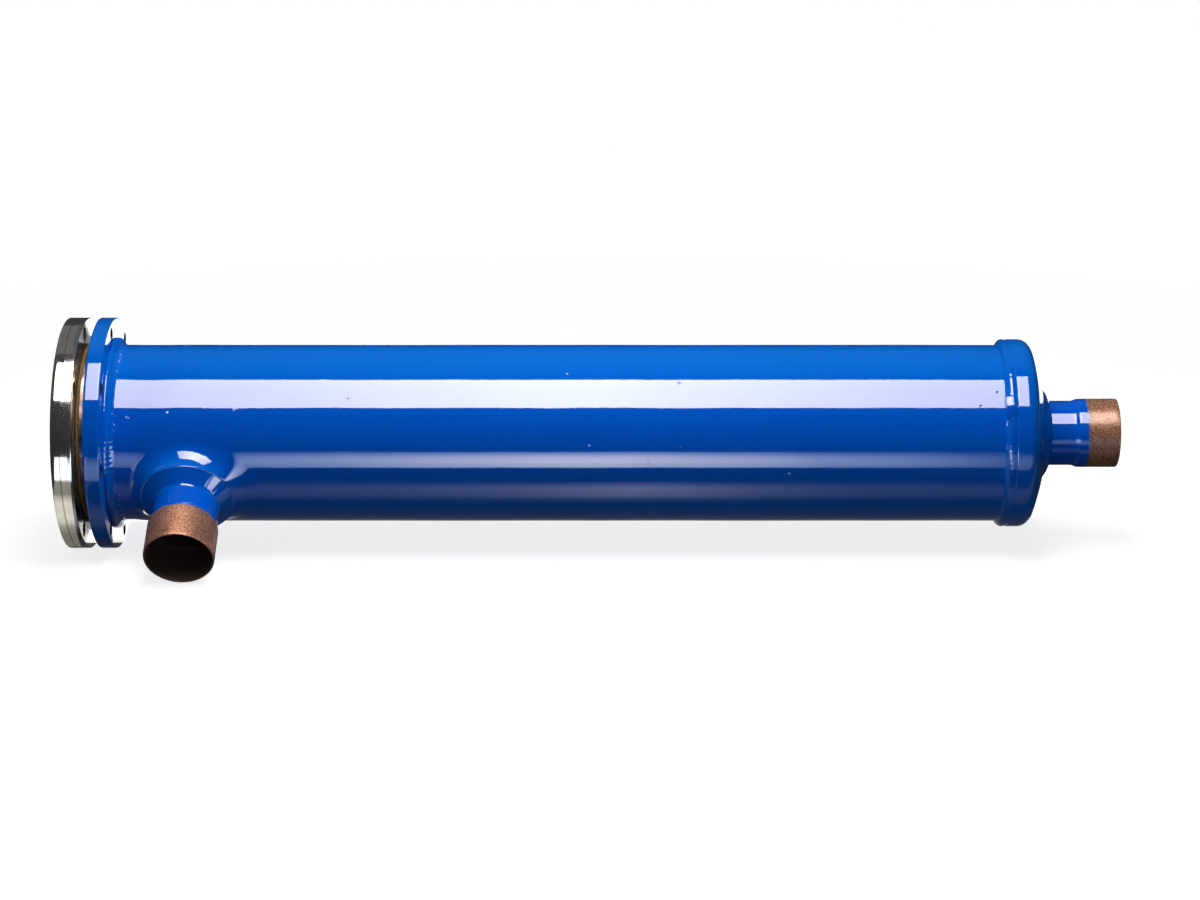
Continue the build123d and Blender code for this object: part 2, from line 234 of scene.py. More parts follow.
def finish_piece(name, skin, node, materials, pick=None, crease=35.0):
    """Makes the closed mesh, turns its faces outwards, parents it to the root body and hides its
    node.

    pick takes face centres and returns the material number of each face.
    """
    points = np.concatenate(skin.points)
    quads = np.concatenate(skin.quads)
    used, flat = np.unique(quads, return_inverse=True)
    mesh = bpy.data.meshes.new(name)
    mesh.from_pydata(points[used].tolist(), [], flat.reshape(quads.shape).tolist())
    form = bmesh.new()
    form.from_mesh(mesh)
    bmesh.ops.remove_doubles(form, verts=form.verts, dist=1e-7)
    bmesh.ops.recalc_face_normals(form, faces=form.faces)
    if form.calc_volume(signed=True) < 0:
        bmesh.ops.reverse_faces(form, faces=form.faces)
    open_edges = sum(1 for e in form.edges if len(e.link_faces) != 2)
    form.to_mesh(mesh)
    form.free()
    if open_edges:
        raise RuntimeError(f"{name} has {open_edges} open edges")
    mesh.shade_smooth()
    mesh.set_sharp_from_angle(angle=math.radians(crease))
    for material in materials:
        mesh.materials.append(material)
    if pick is not None:
        centres = np.empty(len(mesh.polygons) * 3)
        mesh.polygons.foreach_get("center", centres)
        mesh.polygons.foreach_set("material_index", pick(centres.reshape(-1, 3)).astype(np.int32))
    piece = bpy.data.objects.new(name, mesh)
    bpy.context.scene.collection.objects.link(piece)
    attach(piece, "root")
    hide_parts(node)


def ring_piece(name, points, node, materials, pick=None, crease=35.0):
    """Finishes a piece whose closed profile goes once round."""
    skin = Skin()
    skin.sheet(skin.add(points), rows_close=True)
    finish_piece(name, skin, node, materials, pick, crease)


def arc(centre, radius, start, end, steps):
    """Points of an arc in the (station, radius) plane, angles in degrees from +X."""
    t = np.radians(np.linspace(start, end, steps + 1))
    return np.stack([centre[0] + radius * np.cos(t), centre[1] + radius * np.sin(t)], -1)


def run(stations, radii):
    """Profile points from stations and radii, one of which may be a single number."""
    return np.stack(np.broadcast_arrays(stations, radii), -1).astype(float)


def chain(*parts):
    """One profile from points and arrays of points, without repeated points."""
    line = np.concatenate([np.atleast_2d(np.asarray(p, float)) for p in parts])
    keep = np.ones(len(line), bool)
    keep[1:] = np.linalg.norm(np.diff(line, axis=0), axis=1) > 1e-7
    return line[keep]


def shell_frame():
    """Origin and directions of the shell: along it, to the back, and up."""
    return np.zeros(3), *np.eye(3)


def port_frame():
    """Origin and directions of the inlet: along it, along the shell, and across both."""
    s = sizes()
    out = np.array([0.0, -math.cos(s.port_angle), -math.sin(s.port_angle)])
    along = np.array([1.0, 0.0, 0.0])
    return s.port_offset * along, out, along, np.cross(out, along)


def round_angles(count):
    """Angles of count columns, once round."""
    return np.arange(count) * 2 * math.pi / count


def turned(line, angles, port=False):
    """Profile (station, radius) carried round the shell's axis, or round the inlet's axis.

    line is one profile, or a grid of points with a profile for each angle.
    """
    station, radius = (line[:, None] if line.ndim == 2 else line).transpose(2, 0, 1)
    origin, axis, first, second = port_frame() if port else shell_frame()
    return (origin + (station + 0 * angles)[..., None] * axis
            + (radius * np.cos(angles))[..., None] * first
            + (radius * np.sin(angles))[..., None] * second)


def smooth_noise(seed, angles, turns, count=6):
    """Sum of a few cosines of the angle with seeded strengths, between about -1 and 1."""
    chance = np.random.default_rng(seed)
    waves = chance.integers(turns[0], turns[1], count)
    phase = chance.uniform(0, 2 * math.pi, count)
    size = chance.uniform(0.4, 1.0, count)
    total = sum(k * np.cos(w * angles + p) for w, p, k in zip(waves, phase, size))
    return total / np.sum(size)


# Node making

def fill(tree, node, inputs):
    """Sets or links a node's inputs."""
    for key, value in inputs.items():
        if isinstance(value, bpy.types.NodeSocket):
            tree.links.new(value, node.inputs[key])
        else:
            node.inputs[key].default_value = value
    return node


def put(tree, kind, inputs=None, **settings):
    """Adds a node, sets its properties, and sets or links its inputs."""
    node = tree.nodes.new(kind)
    for key, value in settings.items():
        setattr(node, key, value)
    return fill(tree, node, inputs or {})


def maths(tree, operation, a, b=0.0):
    """One Math node."""
    return put(tree, "ShaderNodeMath", {0: a, 1: b}, operation=operation).outputs[0]


def times(tree, a, b):
    return maths(tree, "MULTIPLY", a, b)


def plus(tree, a, b):
    return maths(tree, "ADD", a, b)


def vector_maths(tree, operation, a, b=(0.0, 0.0, 0.0)):
    """Outputs of one Vector Math node."""
    return put(tree, "ShaderNodeVectorMath", {0: a, 1: b}, operation=operation).outputs


def ramp(tree, value, low, high, start=0.0, end=1.0):
    """start below low, end above high, straight between."""
    return put(tree, "ShaderNodeMapRange", {
        "Value": value, "From Min": low, "From Max": high, "To Min": start, "To Max": end},
        clamp=True).outputs["Result"]


def blend_colour(tree, factor, a, b):
    """From colour a to colour b."""
    return put(tree, "ShaderNodeMix", {0: factor, 6: a, 7: b}, data_type="RGBA").outputs[2]


def blend_value(tree, factor, a, b):
    """From number a to number b."""
    return put(tree, "ShaderNodeMix", {0: factor, 2: a, 3: b}, data_type="FLOAT").outputs[0]


def noise(tree, vector, scale, detail=2.0, roughness=0.5):
    """Noise value from object coordinates."""
    return put(tree, "ShaderNodeTexNoise", {"Vector": vector, "Scale": scale, "Detail": detail,
                                            "Roughness": roughness}).outputs["Fac"]


def object_coordinates(tree):
    return put(tree, "ShaderNodeTexCoord").outputs["Object"]


def axes(tree, vector):
    """The three numbers of a vector."""
    return put(tree, "ShaderNodeSeparateXYZ", {0: vector}).outputs


def rgba(colour_value, factor=1.0):
    return (*[c * factor for c in colour_value], 1.0)


def group_tree(name, inputs, outputs):
    """New shader node group of number sockets; its first input is a vector."""
    tree = bpy.data.node_groups.new(name, "ShaderNodeTree")
    tree.interface.new_socket("Vector", in_out="INPUT", socket_type="NodeSocketVector")
    for labels, side in ((inputs, "INPUT"), (outputs, "OUTPUT")):
        for label in labels:
            tree.interface.new_socket(label, in_out=side, socket_type="NodeSocketFloat")
    return tree, tree.nodes.new("NodeGroupInput").outputs, tree.nodes.new("NodeGroupOutput")


def use_group(tree, name, make, inputs):
    """Outputs of a node group, which make builds at its first use."""
    group = bpy.data.node_groups.get(name) or make(name)
    node = tree.nodes.new("ShaderNodeGroup")
    node.node_tree = group
    return fill(tree, node, inputs).outputs


def paint_film(name):
    """Sprayed gloss film: long soft waves, fine orange peel and a few dust nibs as one height."""
    tree, start, end = group_tree(name, ["Nibs"], ["Height", "Mottle", "Nib mask"])
    where = start["Vector"]
    cells = put(tree, "ShaderNodeTexVoronoi", {"Vector": where, "Scale": 62.0, "Randomness": 1.0},
                feature="F1").outputs["Distance"]
    rare = ramp(tree, noise(tree, where, 9.0, 0.0), 0.60, 0.66)
    nib_and_glint = times(tree, times(tree, ramp(tree, cells, 0.075, 0.03), rare), start["Nibs"])
    height = plus(tree, times(tree, noise(tree, where, 24.0, 1.0), 0.35),
                  times(tree, noise(tree, where, 260.0, 2.0), 0.03))
    fill(tree, end, {"Height": plus(tree, height, times(tree, nib_and_glint, 0.5)),
                     "Mottle": noise(tree, where, 14.0, 3.0), "Nib mask": nib_and_glint})
    return tree


def turning_marks(name):
    """Lathe marks about the X axis: fine rings by station and by radius, with slow changes."""
    tree, start, end = group_tree(name, ["Pitch"], ["Rings", "Smear"])
    where, pitch = start["Vector"], start["Pitch"]
    x, y, z = axes(tree, where)
    from_axis = vector_maths(tree, "MULTIPLY", where, (0.0, 1.0, 1.0))["Vector"]
    radius = vector_maths(tree, "LENGTH", from_axis)["Value"]
    across = plus(tree, times(tree, radius, pitch), times(tree, y, 40.0))
    lines = put(tree, "ShaderNodeCombineXYZ", {0: times(tree, x, pitch), 1: across,
                                               2: times(tree, z, 40.0)}).outputs[0]
    fill(tree, end, {"Rings": noise(tree, lines, 1.0, 3.0, 0.6),
                     "Smear": noise(tree, where, 120.0, 3.0)})
    return tree


def specks(tree, where, places):
    """Sum of small round spots, each a place and a radius."""
    total = 0.0
    for place, radius in places:
        away = vector_maths(tree, "DISTANCE", where, place)["Value"]
        total = plus(tree, total, ramp(tree, away, radius, radius * 0.2))
    return total


# Finishes

# Roughness and bump depth of the paint
PAINT_ROUGHNESS = 0.035
PAINT_DEPTH = 0.00028
# From the flange's back to where the spatter of its bead lies
SPATTER_OFFSET = 0.0068
# Places and radii of the dust nibs and pits that the photograph shows; the nibs are also
# painted lighter, as painted glints, and the pits darker, as painted shade
TUBE_NIBS_AND_GLINTS = (((0.0245, -0.0524, 0.0229), 0.0009), ((0.0258, -0.0526, 0.0223), 0.0007),
             ((0.0503, -0.0513, 0.0253), 0.0010), ((0.0735, -0.0497, 0.0281), 0.0010),
             ((0.0924, -0.0504, 0.0270), 0.0014), ((0.0940, -0.0500, 0.0277), 0.0008))
TUBE_PITS_AND_SHADE = (((0.5737, -0.0435, 0.0371), 0.0008), ((0.5631, -0.0491, 0.0293), 0.0009))


def new_material(name):
    """New material, its node tree and its object coordinates."""
    material = bpy.data.materials.new(name)
    material.use_nodes = True
    return material, material.node_tree, object_coordinates(material.node_tree)


def finish_material(material, height, strength, depth, inputs):
    """Fills the shader's inputs and gives it a bump, depth metres for a height of one."""
    tree = material.node_tree
    bump = put(tree, "ShaderNodeBump", {"Height": height, "Strength": strength, "Distance": depth})
    fill(tree, tree.nodes["Principled BSDF"], {**inputs, "Normal": bump.outputs["Normal"]})
    return material


def shared(name, make):
    """A material that make builds at its first use, for one or more pieces."""
    return bpy.data.materials.get(name) or make(name)


def paint_material(name):
    """Gloss blue enamel over steel, greener at a slant, with orange peel, dust nibs and pits.
    The nibs are painted lighter as painted glints and the pits darker as painted shade.

    Weld spatter lies under the paint along the toe of the flange bead, raised and painted
    lighter as painted glints.
    """
    material, tree, where = new_material(name)
    film = use_group(tree, "Paint film", paint_film, {"Vector": where, "Nibs": 1.0})
    colours = finish_colours()
    slant = put(tree, "ShaderNodeLayerWeight", {"Blend": 0.5}).outputs["Facing"]
    tone = blend_colour(tree, ramp(tree, slant, 0.0, 0.4), rgba(colours.paint), rgba(colours.slant))
    tone = blend_colour(tree, times(tree, film["Mottle"], 0.12), tone, (0.0, 0.03, 0.25, 1.0))
    # Painted glint: the paint is lighter on the dust nibs.
    tone = blend_colour(tree, film["Nib mask"], tone, rgba(colours.paint, 1.25))
    station = axes(tree, where)[0]
    toe = sizes().flange_thickness + SPATTER_OFFSET
    along_toe = times(tree, ramp(tree, station, toe - 0.0018, toe - 0.0006),
                      ramp(tree, station, toe + 0.0014, toe))
    spatter = times(tree, along_toe, ramp(tree, noise(tree, where, 620.0, 1.0), 0.62, 0.70))
    nib_and_glint = plus(tree, specks(tree, where, TUBE_NIBS_AND_GLINTS), spatter)
    pit_and_shade = specks(tree, where, TUBE_PITS_AND_SHADE)
    # Painted glints: lighter paint on the listed nibs and along the spatter.
    tone = blend_colour(tree, times(tree, nib_and_glint, 0.55), tone, (0.40, 0.55, 0.95, 1.0))
    # Painted shade: the paint is near black in the pits.
    tone = blend_colour(tree, pit_and_shade, tone, (0.0, 0.005, 0.03, 1.0))
    height = plus(tree, film["Height"], times(tree, nib_and_glint, 0.4))
    height = maths(tree, "SUBTRACT", height, times(tree, pit_and_shade, 0.9))
    return finish_material(material, height, 1.0, PAINT_DEPTH,
                           {"Base Color": tone, "Roughness": PAINT_ROUGHNESS, "IOR": 1.5})


def paint():
    return shared("Gloss blue paint", paint_material)


def cover_stations():
    """Stations of the cover's inner face, its outer face and the groove in its rim."""
    s = sizes()
    inner = -s.hub_height - s.gasket_thickness
    outer = inner - s.cover_thickness
    return inner, outer, outer + s.groove_offset


def turned_steel_material(name):
    """Bare turned steel: ring marks, grey smears, painted shade darkening the groove, and more gloss
    outside it.
    """
    material, tree, where = new_material(name)
    marks = use_group(tree, "Turning marks", turning_marks, {"Vector": where, "Pitch": 5200.0})
    base = finish_colours().steel
    tone = blend_colour(tree, marks["Rings"], rgba(base, 0.78), rgba(base, 1.16))
    smear = ramp(tree, marks["Smear"], 0.45, 0.75)
    tone = blend_colour(tree, times(tree, smear, 0.35), tone, (0.36, 0.33, 0.28, 1.0))
    station = axes(tree, where)[0]
    groove = cover_stations()[2]
    # Painted shade: the steel is darker in and beside the groove.
    off = maths(tree, "ABSOLUTE", maths(tree, "SUBTRACT", station, groove))
    tone = blend_colour(tree, times(tree, ramp(tree, off, 0.00042, 0.00018), 0.3),
                        tone, (0.03, 0.03, 0.03, 1.0))
    matt = times(tree, ramp(tree, station, groove, groove + 0.0005), 0.04)
    rough = plus(tree, ramp(tree, marks["Rings"], 0.2, 0.8, 0.045, 0.085), matt)
    return finish_material(material, marks["Rings"], 0.1, 0.00002,
                           {"Base Color": tone, "Metallic": 0.92, "Roughness": rough})


def heat_tint_material(name):
    """Steel hub with the brown and blue film that welding heat leaves, and painted shade darkening it
    towards the bottom.
    """
    material, tree, where = new_material(name)
    marks = use_group(tree, "Turning marks", turning_marks, {"Vector": where, "Pitch": 3600.0})
    base = finish_colours().tint
    spots = ramp(tree, noise(tree, where, 160.0, 3.0), 0.42, 0.60)
    tone = blend_colour(tree, spots, rgba(base, 0.5), rgba(base, 1.6))
    film = ramp(tree, noise(tree, where, 60.0, 2.0), 0.50, 0.64)
    tone = blend_colour(tree, film, tone, (0.05, 0.06, 0.12, 1.0))
    # Painted shade: darker towards the bottom of the hub.
    low = ramp(tree, axes(tree, where)[2], 0.0, -0.045)
    tone = blend_colour(tree, low, tone, (0.035, 0.028, 0.022, 1.0))
    return finish_material(material, marks["Rings"], 0.4, 0.00003,
                           {"Base Color": tone, "Metallic": 0.85, "Roughness": 0.3})


def fibre_material(name):
    """Compressed fibre sheet: matt, with short fibres and darker spots."""
    material, tree, where = new_material(name)
    base = finish_colours().fibre
    fibres = noise(tree, where, 900.0, 4.0, 0.7)
    tone = blend_colour(tree, ramp(tree, fibres, 0.35, 0.65), rgba(base, 0.6), rgba(base, 1.5))
    return finish_material(material, fibres, 0.6, 0.00008, {"Base Color": tone, "Roughness": 0.75})


def copper_material(name, origin, direction, paint_edge, shine, rough):
    """Brown, speckled copper, painted blue below paint_edge along its own axis.

    The paint's edge is dusty. shine is how metallic the bare copper is, rough how matt.
    """
    material, tree, where = new_material(name)
    own = vector_maths(tree, "SUBTRACT", where, origin)["Vector"]
    station = vector_maths(tree, "DOT_PRODUCT", own, direction)["Value"]
    film = use_group(tree, "Paint film", paint_film, {"Vector": where, "Nibs": 0.4})
    colours = finish_colours()
    grain = noise(tree, own, 1050.0, 2.0, 0.6)
    blotch = ramp(tree, noise(tree, own, 120.0, 4.0, 0.6), 0.35, 0.68)
    warm = blend_colour(tree, blotch, rgba(colours.copper, 0.75), rgba(colours.copper, 1.3))
    warm = blend_colour(tree, ramp(tree, grain, 0.50, 0.68), warm, (0.46, 0.30, 0.19, 1.0))
    warm = blend_colour(tree, ramp(tree, grain, 0.50, 0.34), warm, rgba(colours.copper, 0.40))
    edge = plus(tree, station, times(tree, maths(tree, "SUBTRACT", grain, 0.5), 0.0022))
    bare = ramp(tree, edge, paint_edge - 0.0004, paint_edge + 0.0006)
    dust = times(tree, ramp(tree, edge, paint_edge + 0.0030, paint_edge), 0.55)
    warm = blend_colour(tree, dust, warm, (0.09, 0.10, 0.13, 1.0))
    metal = times(tree, bare, maths(tree, "SUBTRACT", 1.0, dust))
    matt = ramp(tree, grain, 0.3, 0.7, rough, rough + 0.15)
    height = blend_value(tree, bare, film["Height"], times(tree, grain, 0.40))
    return finish_material(material, height, 1.0, PAINT_DEPTH, {
        "Base Color": blend_colour(tree, bare, rgba(colours.paint), warm),
        "Metallic": times(tree, metal, shine),
        "Roughness": blend_value(tree, bare, PAINT_ROUGHNESS, matt),
        "Coat Weight": times(tree, bare, 0.14), "Coat Roughness": 0.22})


# Plain finishes for bores, holes and the pieces inside: base colour, metallic, roughness, and
# scale and depth of the grain
GRAINED = {
    # Painted shade steel is a dark navy put on the bolt-hole walls and on the cover's inner face:
    # painted shade.
    "Dark steel": ((0.045, 0.055, 0.085), 0.9, 0.32, 300.0, 0.00003),
    "Dark bore": ((0.060, 0.034, 0.022), 0.2, 0.6, 500.0, 0.00003),
    "Desiccant": ((0.60, 0.56, 0.48), 0.0, 0.9, 700.0, 0.0002),
    "Felt": ((0.55, 0.52, 0.46), 0.0, 0.95, 1200.0, 0.0003),
    "Plated sheet": ((0.55, 0.54, 0.50), 1.0, 0.35, 300.0, 0.00003),
    "Spring strip": ((0.20, 0.20, 0.21), 1.0, 0.4, 500.0, 0.00003),
}
# Finish of each node inside the shell, by the start of its name
INSIDE = {"core_spring": "Spring strip", "core_": "Desiccant", "felt_": "Felt",
          "separator_": "Plated sheet", "outlet_seat": "Plated sheet", "top_plate": "Plated sheet",
          "tie_rod": "Plated sheet", "rod_nut": "Plated sheet"}


def grained_material(name):
    """One of the plain finishes: two shades of its colour mixed by a noise that is also its bump."""
    base, metallic, roughness, scale, depth = GRAINED[name]
    material, tree, where = new_material(name)
    grain = noise(tree, where, scale, 4.0, 0.6)
    tone = blend_colour(tree, grain, rgba(base, 0.75), rgba(base, 1.2))
    return finish_material(material, grain, 0.5, depth,
                           {"Base Color": tone, "Metallic": metallic, "Roughness": roughness})


def finish_inside():
    """Gives each node inside the shell its finish."""
    for piece in bpy.context.scene.objects:
        start = next((start for start in INSIDE if piece.name.startswith(start)), None)
        if start and piece.type == "MESH":
            for slot in piece.material_slots:
                slot.material = shared(INSIDE[start], grained_material)


# Shell tube with its drawn neck

def tube_sway(points):
    """Small swells of the drawn tube, up to about 0.1 mm, stronger near the flange weld.

    The radius grows by three waves along the station, each shifted with the angle.
    """
    x = points[..., 0]
    turn = np.arctan2(points[..., 2], points[..., 1])
    near = np.exp(-((x - 0.02) / 0.055) ** 2)
    sway = (0.000035 * np.sin(x * 31.0 + 2.0 * np.cos(turn + 0.6))
            + 0.00003 * np.cos(x * 67.0 + 3.0 * np.sin(turn))
            + near * 0.00010 * np.sin(x * 118.0 + 1.3 + np.cos(turn * 2.0)))
    scale = 1.0 + sway / np.hypot(points[..., 1], points[..., 2]).clip(0.01)
    return points * np.stack([np.ones_like(scale), scale, scale], -1)


def neck_rings(edge_along, edge_across):
    """Rings from a window's edge in to the neck's bore, as (along, across, out) of the port.

    In each direction theta an arc of the blend radius leaves the tube along the tube's slope.
    Where the lip is high enough the arc ends upright and a straight wall leads on to the lip;
    elsewhere it ends at the lip. The arc's start is found by halving the stretch in which it
    lies. A small round leads over the lip.
    """
    s = sizes()
    big, neck, top = s.tube_radius, s.neck_radius, s.neck_top
    widest = 0.050
    theta = np.arctan2(edge_across, edge_along)
    c, d = np.cos(theta), np.sin(theta)
    blend = s.neck_blend + s.neck_blend_far * np.maximum(c, 0) ** 2

    def arc_centre(reach):
        height = np.sqrt(big ** 2 - (reach * d) ** 2)
        slope = reach * d * d / height
        size = np.hypot(1, slope)
        return slope, reach + blend * slope / size, height + blend / size

    near, far = np.full_like(c, neck), np.full_like(c, widest)
    for _ in range(40):
        reach = (near + far) / 2
        slope, x, y = arc_centre(reach)
        gap = np.where(y < top, x - neck, np.hypot(x - neck, y - top)) - blend
        near, far = np.where(gap < 0, reach, near), np.where(gap < 0, far, reach)

    w = np.linspace(0, 1, 7)[1:, None, None]
    foot = np.stack([reach * c, reach * d], -1)
    flat = (1 - w) * np.stack([edge_along, edge_across], -1) + w * foot
    on_tube = np.concatenate([flat, np.sqrt(big ** 2 - flat[..., 1:] ** 2)], -1)

    first = np.pi + np.arctan2(1, slope)
    last = np.pi + np.arctan2(np.maximum(y - top, 0), x - neck)
    curved = blend * (first - last)
    whole = curved + np.maximum(top - y, 0) - s.neck_lip
    way = np.linspace(0, 1, 33)[1:, None] * whole
    bent = np.minimum(way, curved)
    turn = first - bent / blend
    wall = np.stack([x + blend * np.cos(turn), y + blend * np.sin(turn) + way - bent], -1)
    end = np.stack([neck + 0 * c, top + 0 * c], -1)
    inner = end - np.array([s.neck_lip, 0.0])
    over = (1 - w) ** 2 * wall[-1] + 2 * w * (1 - w) * end + w ** 2 * inner
    across_lip = (1 - w) * inner + w * np.array([s.stub_radius + s.clearance, top])
    line = np.concatenate([wall, over, across_lip])
    climb = np.stack([line[..., 0] * c, line[..., 0] * d, line[..., 1]], -1)
    return np.concatenate([on_tube, climb])


def tube_stations():
    """Stations along the tube: close together round the port and wider beyond it."""
    s = sizes()
    window = 0.0455
    port = s.port_offset + np.linspace(-window, window, 37)
    before = np.linspace(s.tube_start, port[0], 6)[:-1]
    after = np.linspace(port[-1], s.tube_end, 84)[1:]
    return np.concatenate([before, port, after]), len(before), len(before) + len(port) - 1


def make_shell_tube():
    """The tube is a cylinder on a grid of station and angle. A window in the grid round the
    port is filled with rings that lead over the blend and the neck to its bore."""
    s = sizes()
    steps, half = s.round_steps, 39
    origin, out, along, across = port_frame()
    x, low, high = tube_stations()
    turn = (np.arange(steps) - steps // 2) * 2 * math.pi / steps
    left, right = steps // 2 - half, steps // 2 + half
    r, c = window_edge(np.arange(low, high + 1), left, right)
    edge_along = x[r] - s.port_offset
    skin = Skin()

    def wall(radius):
        ring = radius * (np.cos(turn)[:, None] * out + np.sin(turn)[:, None] * across)
        numbers = skin.add(x[:, None, None] * along + ring)
        skin.sheet(numbers, holes=[(low, high, left, right)])
        return numbers, radius * np.sin(turn[c])

    def placed(rings):
        return origin + rings[..., :1] * along + rings[..., 1:2] * across + rings[..., 2:] * out

    outer, edge_across = wall(s.tube_radius)
    lip = skin.fan(outer[r, c], placed(neck_rings(edge_along, edge_across)))
    skin.points = [tube_sway(block) for block in skin.points]

    theta = np.arctan2(edge_across, edge_along)
    inner, edge_across = wall(s.tube_bore)
    bore = (s.stub_radius + s.clearance) * np.stack([np.cos(theta), np.sin(theta)], -1)
    w = np.linspace(0, 1, 7)[1:, None, None]
    flat = (1 - w) * np.stack([edge_along, edge_across], -1) + w * bore
    deep = np.sqrt(s.tube_bore ** 2 - flat[..., 1:] ** 2)
    mouth = skin.fan(inner[r, c], placed(np.concatenate([flat, deep], -1)))
    skin.bridge(lip, mouth, 3)
    skin.bridge(outer[0], inner[0])
    skin.bridge(outer[-1], inner[-1])
    finish_piece("shell_body", skin, "shell_tube", [paint()])


# Round plates with bolt holes

HOLES = 8
# Window of the grid round each hole: rows, columns to either side, and reach to either side of
# the bolt circle
WINDOW_ROWS = 13
WINDOW_COLUMNS = 7
WINDOW_INWARDS = 0.0080
WINDOW_OUTWARDS = 0.0063


def drill(skin, numbers, rows, column, turn, hole, mouth, inward):
    """Fills a window with rings from its edge to a round hole, and returns the hole's edge.

    On the face the hole is wider by mouth, or narrower where that is below nothing, and its
    wall begins that much further in.
    """
    r, c = window_edge(rows, column - WINDOW_COLUMNS, column + WINDOW_COLUMNS)
    edge = numbers[r, c]
    at = skin.where(edge)
    along = np.array([1.0, 0.0, 0.0])
    up = np.array([0.0, math.cos(turn), math.sin(turn)])
    side = np.cross(along, up)
    middle = at[:, :1] * along + sizes().bolt_radius * up
    u, v = (at - middle) @ up, (at - middle) @ side
    theta = np.arctan2(v, u)
    circle = np.cos(theta)[:, None] * up + np.sin(theta)[:, None] * side
    w = np.linspace(0, 1, 6)[1:, None, None]
    flat = middle + (1 - w) * (u[:, None] * up + v[:, None] * side) + w * (hole + mouth) * circle
    start = middle + hole * circle + inward * mouth * along
    return skin.fan(edge, np.concatenate([flat, start[None]]))


def holed_plate(first, front, rim, back, last, hole, mouth, solid=False):
    """Turned plate with through holes. Its closed profile is first, the front face across the
    holes, rim, the back face across the holes, and last.

    The columns begin half a sector before a hole, so each hole is in the middle of its sector.
    A solid disc's last two points are its poles, which no wall joins.
    """
    s = sizes()
    sector = s.round_steps // HOLES
    start = math.pi + s.port_angle + math.pi / HOLES
    angles = start + (np.arange(s.round_steps) - sector // 2) * 2 * math.pi / s.round_steps
    across = s.bolt_radius + np.linspace(-WINDOW_INWARDS, WINDOW_OUTWARDS, WINDOW_ROWS)
    line = np.concatenate([first, run(front, across), rim, run(back, across[::-1]), last])
    rows = np.arange(WINDOW_ROWS)
    faces = ((len(first) + rows, 1), (len(first) + WINDOW_ROWS + len(rim) + rows[::-1], -1))
    columns = sector // 2 + sector * np.arange(HOLES)
    windows = [(min(rows), max(rows), column - WINDOW_COLUMNS, column + WINDOW_COLUMNS)
               for rows, _ in faces for column in columns]
    if solid:
        windows.append((len(line) - 2, len(line) - 1, 0, len(angles)))
    skin = Skin()
    numbers = skin.add(turned(line, angles))
    skin.sheet(numbers, rows_close=True, holes=windows)
    for column in columns:
        edges = [drill(skin, numbers, rows, column, angles[column], hole, mouth, inward)
                 for rows, inward in faces]
        skin.bridge(*edges, 4)
    return skin


def in_bolt_hole(centres, reach):
    """True for faces whose centre lies within reach of a bolt hole's axis."""
    s = sizes()
    turn = np.arctan2(centres[:, 2], centres[:, 1]) - math.pi - s.port_angle
    away = turn % (2 * math.pi / HOLES) - math.pi / HOLES
    radius = np.hypot(centres[:, 1], centres[:, 2])
    return np.hypot(radius * np.cos(away) - s.bolt_radius, radius * np.sin(away)) < reach


def make_flange():
    """Profile of hub, face, rim and tube socket, turned about the axis and drilled."""
    s = sizes()
    t, h, hub, rim, edge = s.flange_thickness, s.hub_height, s.hub_radius, s.flange_radius, 0.0007
    first = chain((-h, s.tube_bore), (-h, hub - 0.0003), (-h + 0.0003, hub), (-0.0006, hub),
                  (-0.0002, hub + 0.0002), (0.0, hub + 0.0006))
    outside = chain(
        (0.0, rim - edge), arc((edge, rim - edge), edge, 180, 90, 4),
        run(np.linspace(edge, t - edge, 8)[1:-1], rim), arc((t - edge, rim - edge), edge, 90, 0, 4))
    socket = s.tube_radius + s.clearance
    last = chain((t, socket), (s.tube_start, socket), (s.tube_start, s.tube_bore))
    skin = holed_plate(first, 0.0, outside, t, last, hole=s.flange_hole, mouth=0.0003)

    def pick(centres):
        radius = np.hypot(centres[:, 1], centres[:, 2])
        bare = (centres[:, 0] < -0.0001) | (radius < hub)
        # Painted shade: the walls of the bolt holes get the painted shade steel.
        return np.where(in_bolt_hole(centres, s.flange_hole + 0.00015), 2, bare)

    finish_piece("access_flange", skin, "shell_flange",
                 [paint(), shared("Heat tinted steel", heat_tint_material),
                  shared("Dark steel", grained_material)], pick)


def make_cover():
    """Profile of a thick disc with a fine groove in its rim, turned and drilled."""
    s = sizes()
    inner, outer, groove = cover_stations()
    rim, edge, half, shoulder = s.flange_radius, 0.0006, s.groove_size, s.groove_size + 0.0002
    floor, corner = rim - half, rim - edge
    outside = chain(
        (inner, corner), arc((inner - edge, corner), edge, 0, 90, 4), (inner - 0.003, rim),
        (groove + shoulder, rim), (groove + half, rim), (groove + half * 0.55, floor),
        (groove - half * 0.55, floor), (groove - half, rim), (groove - shoulder, rim),
        (outer + 0.003, rim), arc((outer + edge, corner), edge, 90, 180, 4))
    inside, shaded = np.array([0.02, 0.04, 0.055]), 0.0630
    last = chain(run(outer, inside[::-1]), (outer, 0.0), (inner, 0.0))
    skin = holed_plate(run(inner, inside), inner, outside, outer, last, hole=s.cover_hole,
                       mouth=-0.0004, solid=True)

    # Painted shade: the inner face, within the radius that hub and gasket shade, gets the painted
    # shade steel.
    def pick(centres):
        radius = np.hypot(centres[:, 1], centres[:, 2])
        return (centres[:, 0] > inner - 0.0001) & (radius < shaded)

    finish_piece("blind_cover", skin, "cover",
                 [shared("Turned steel", turned_steel_material),
                  shared("Dark steel", grained_material)], pick)


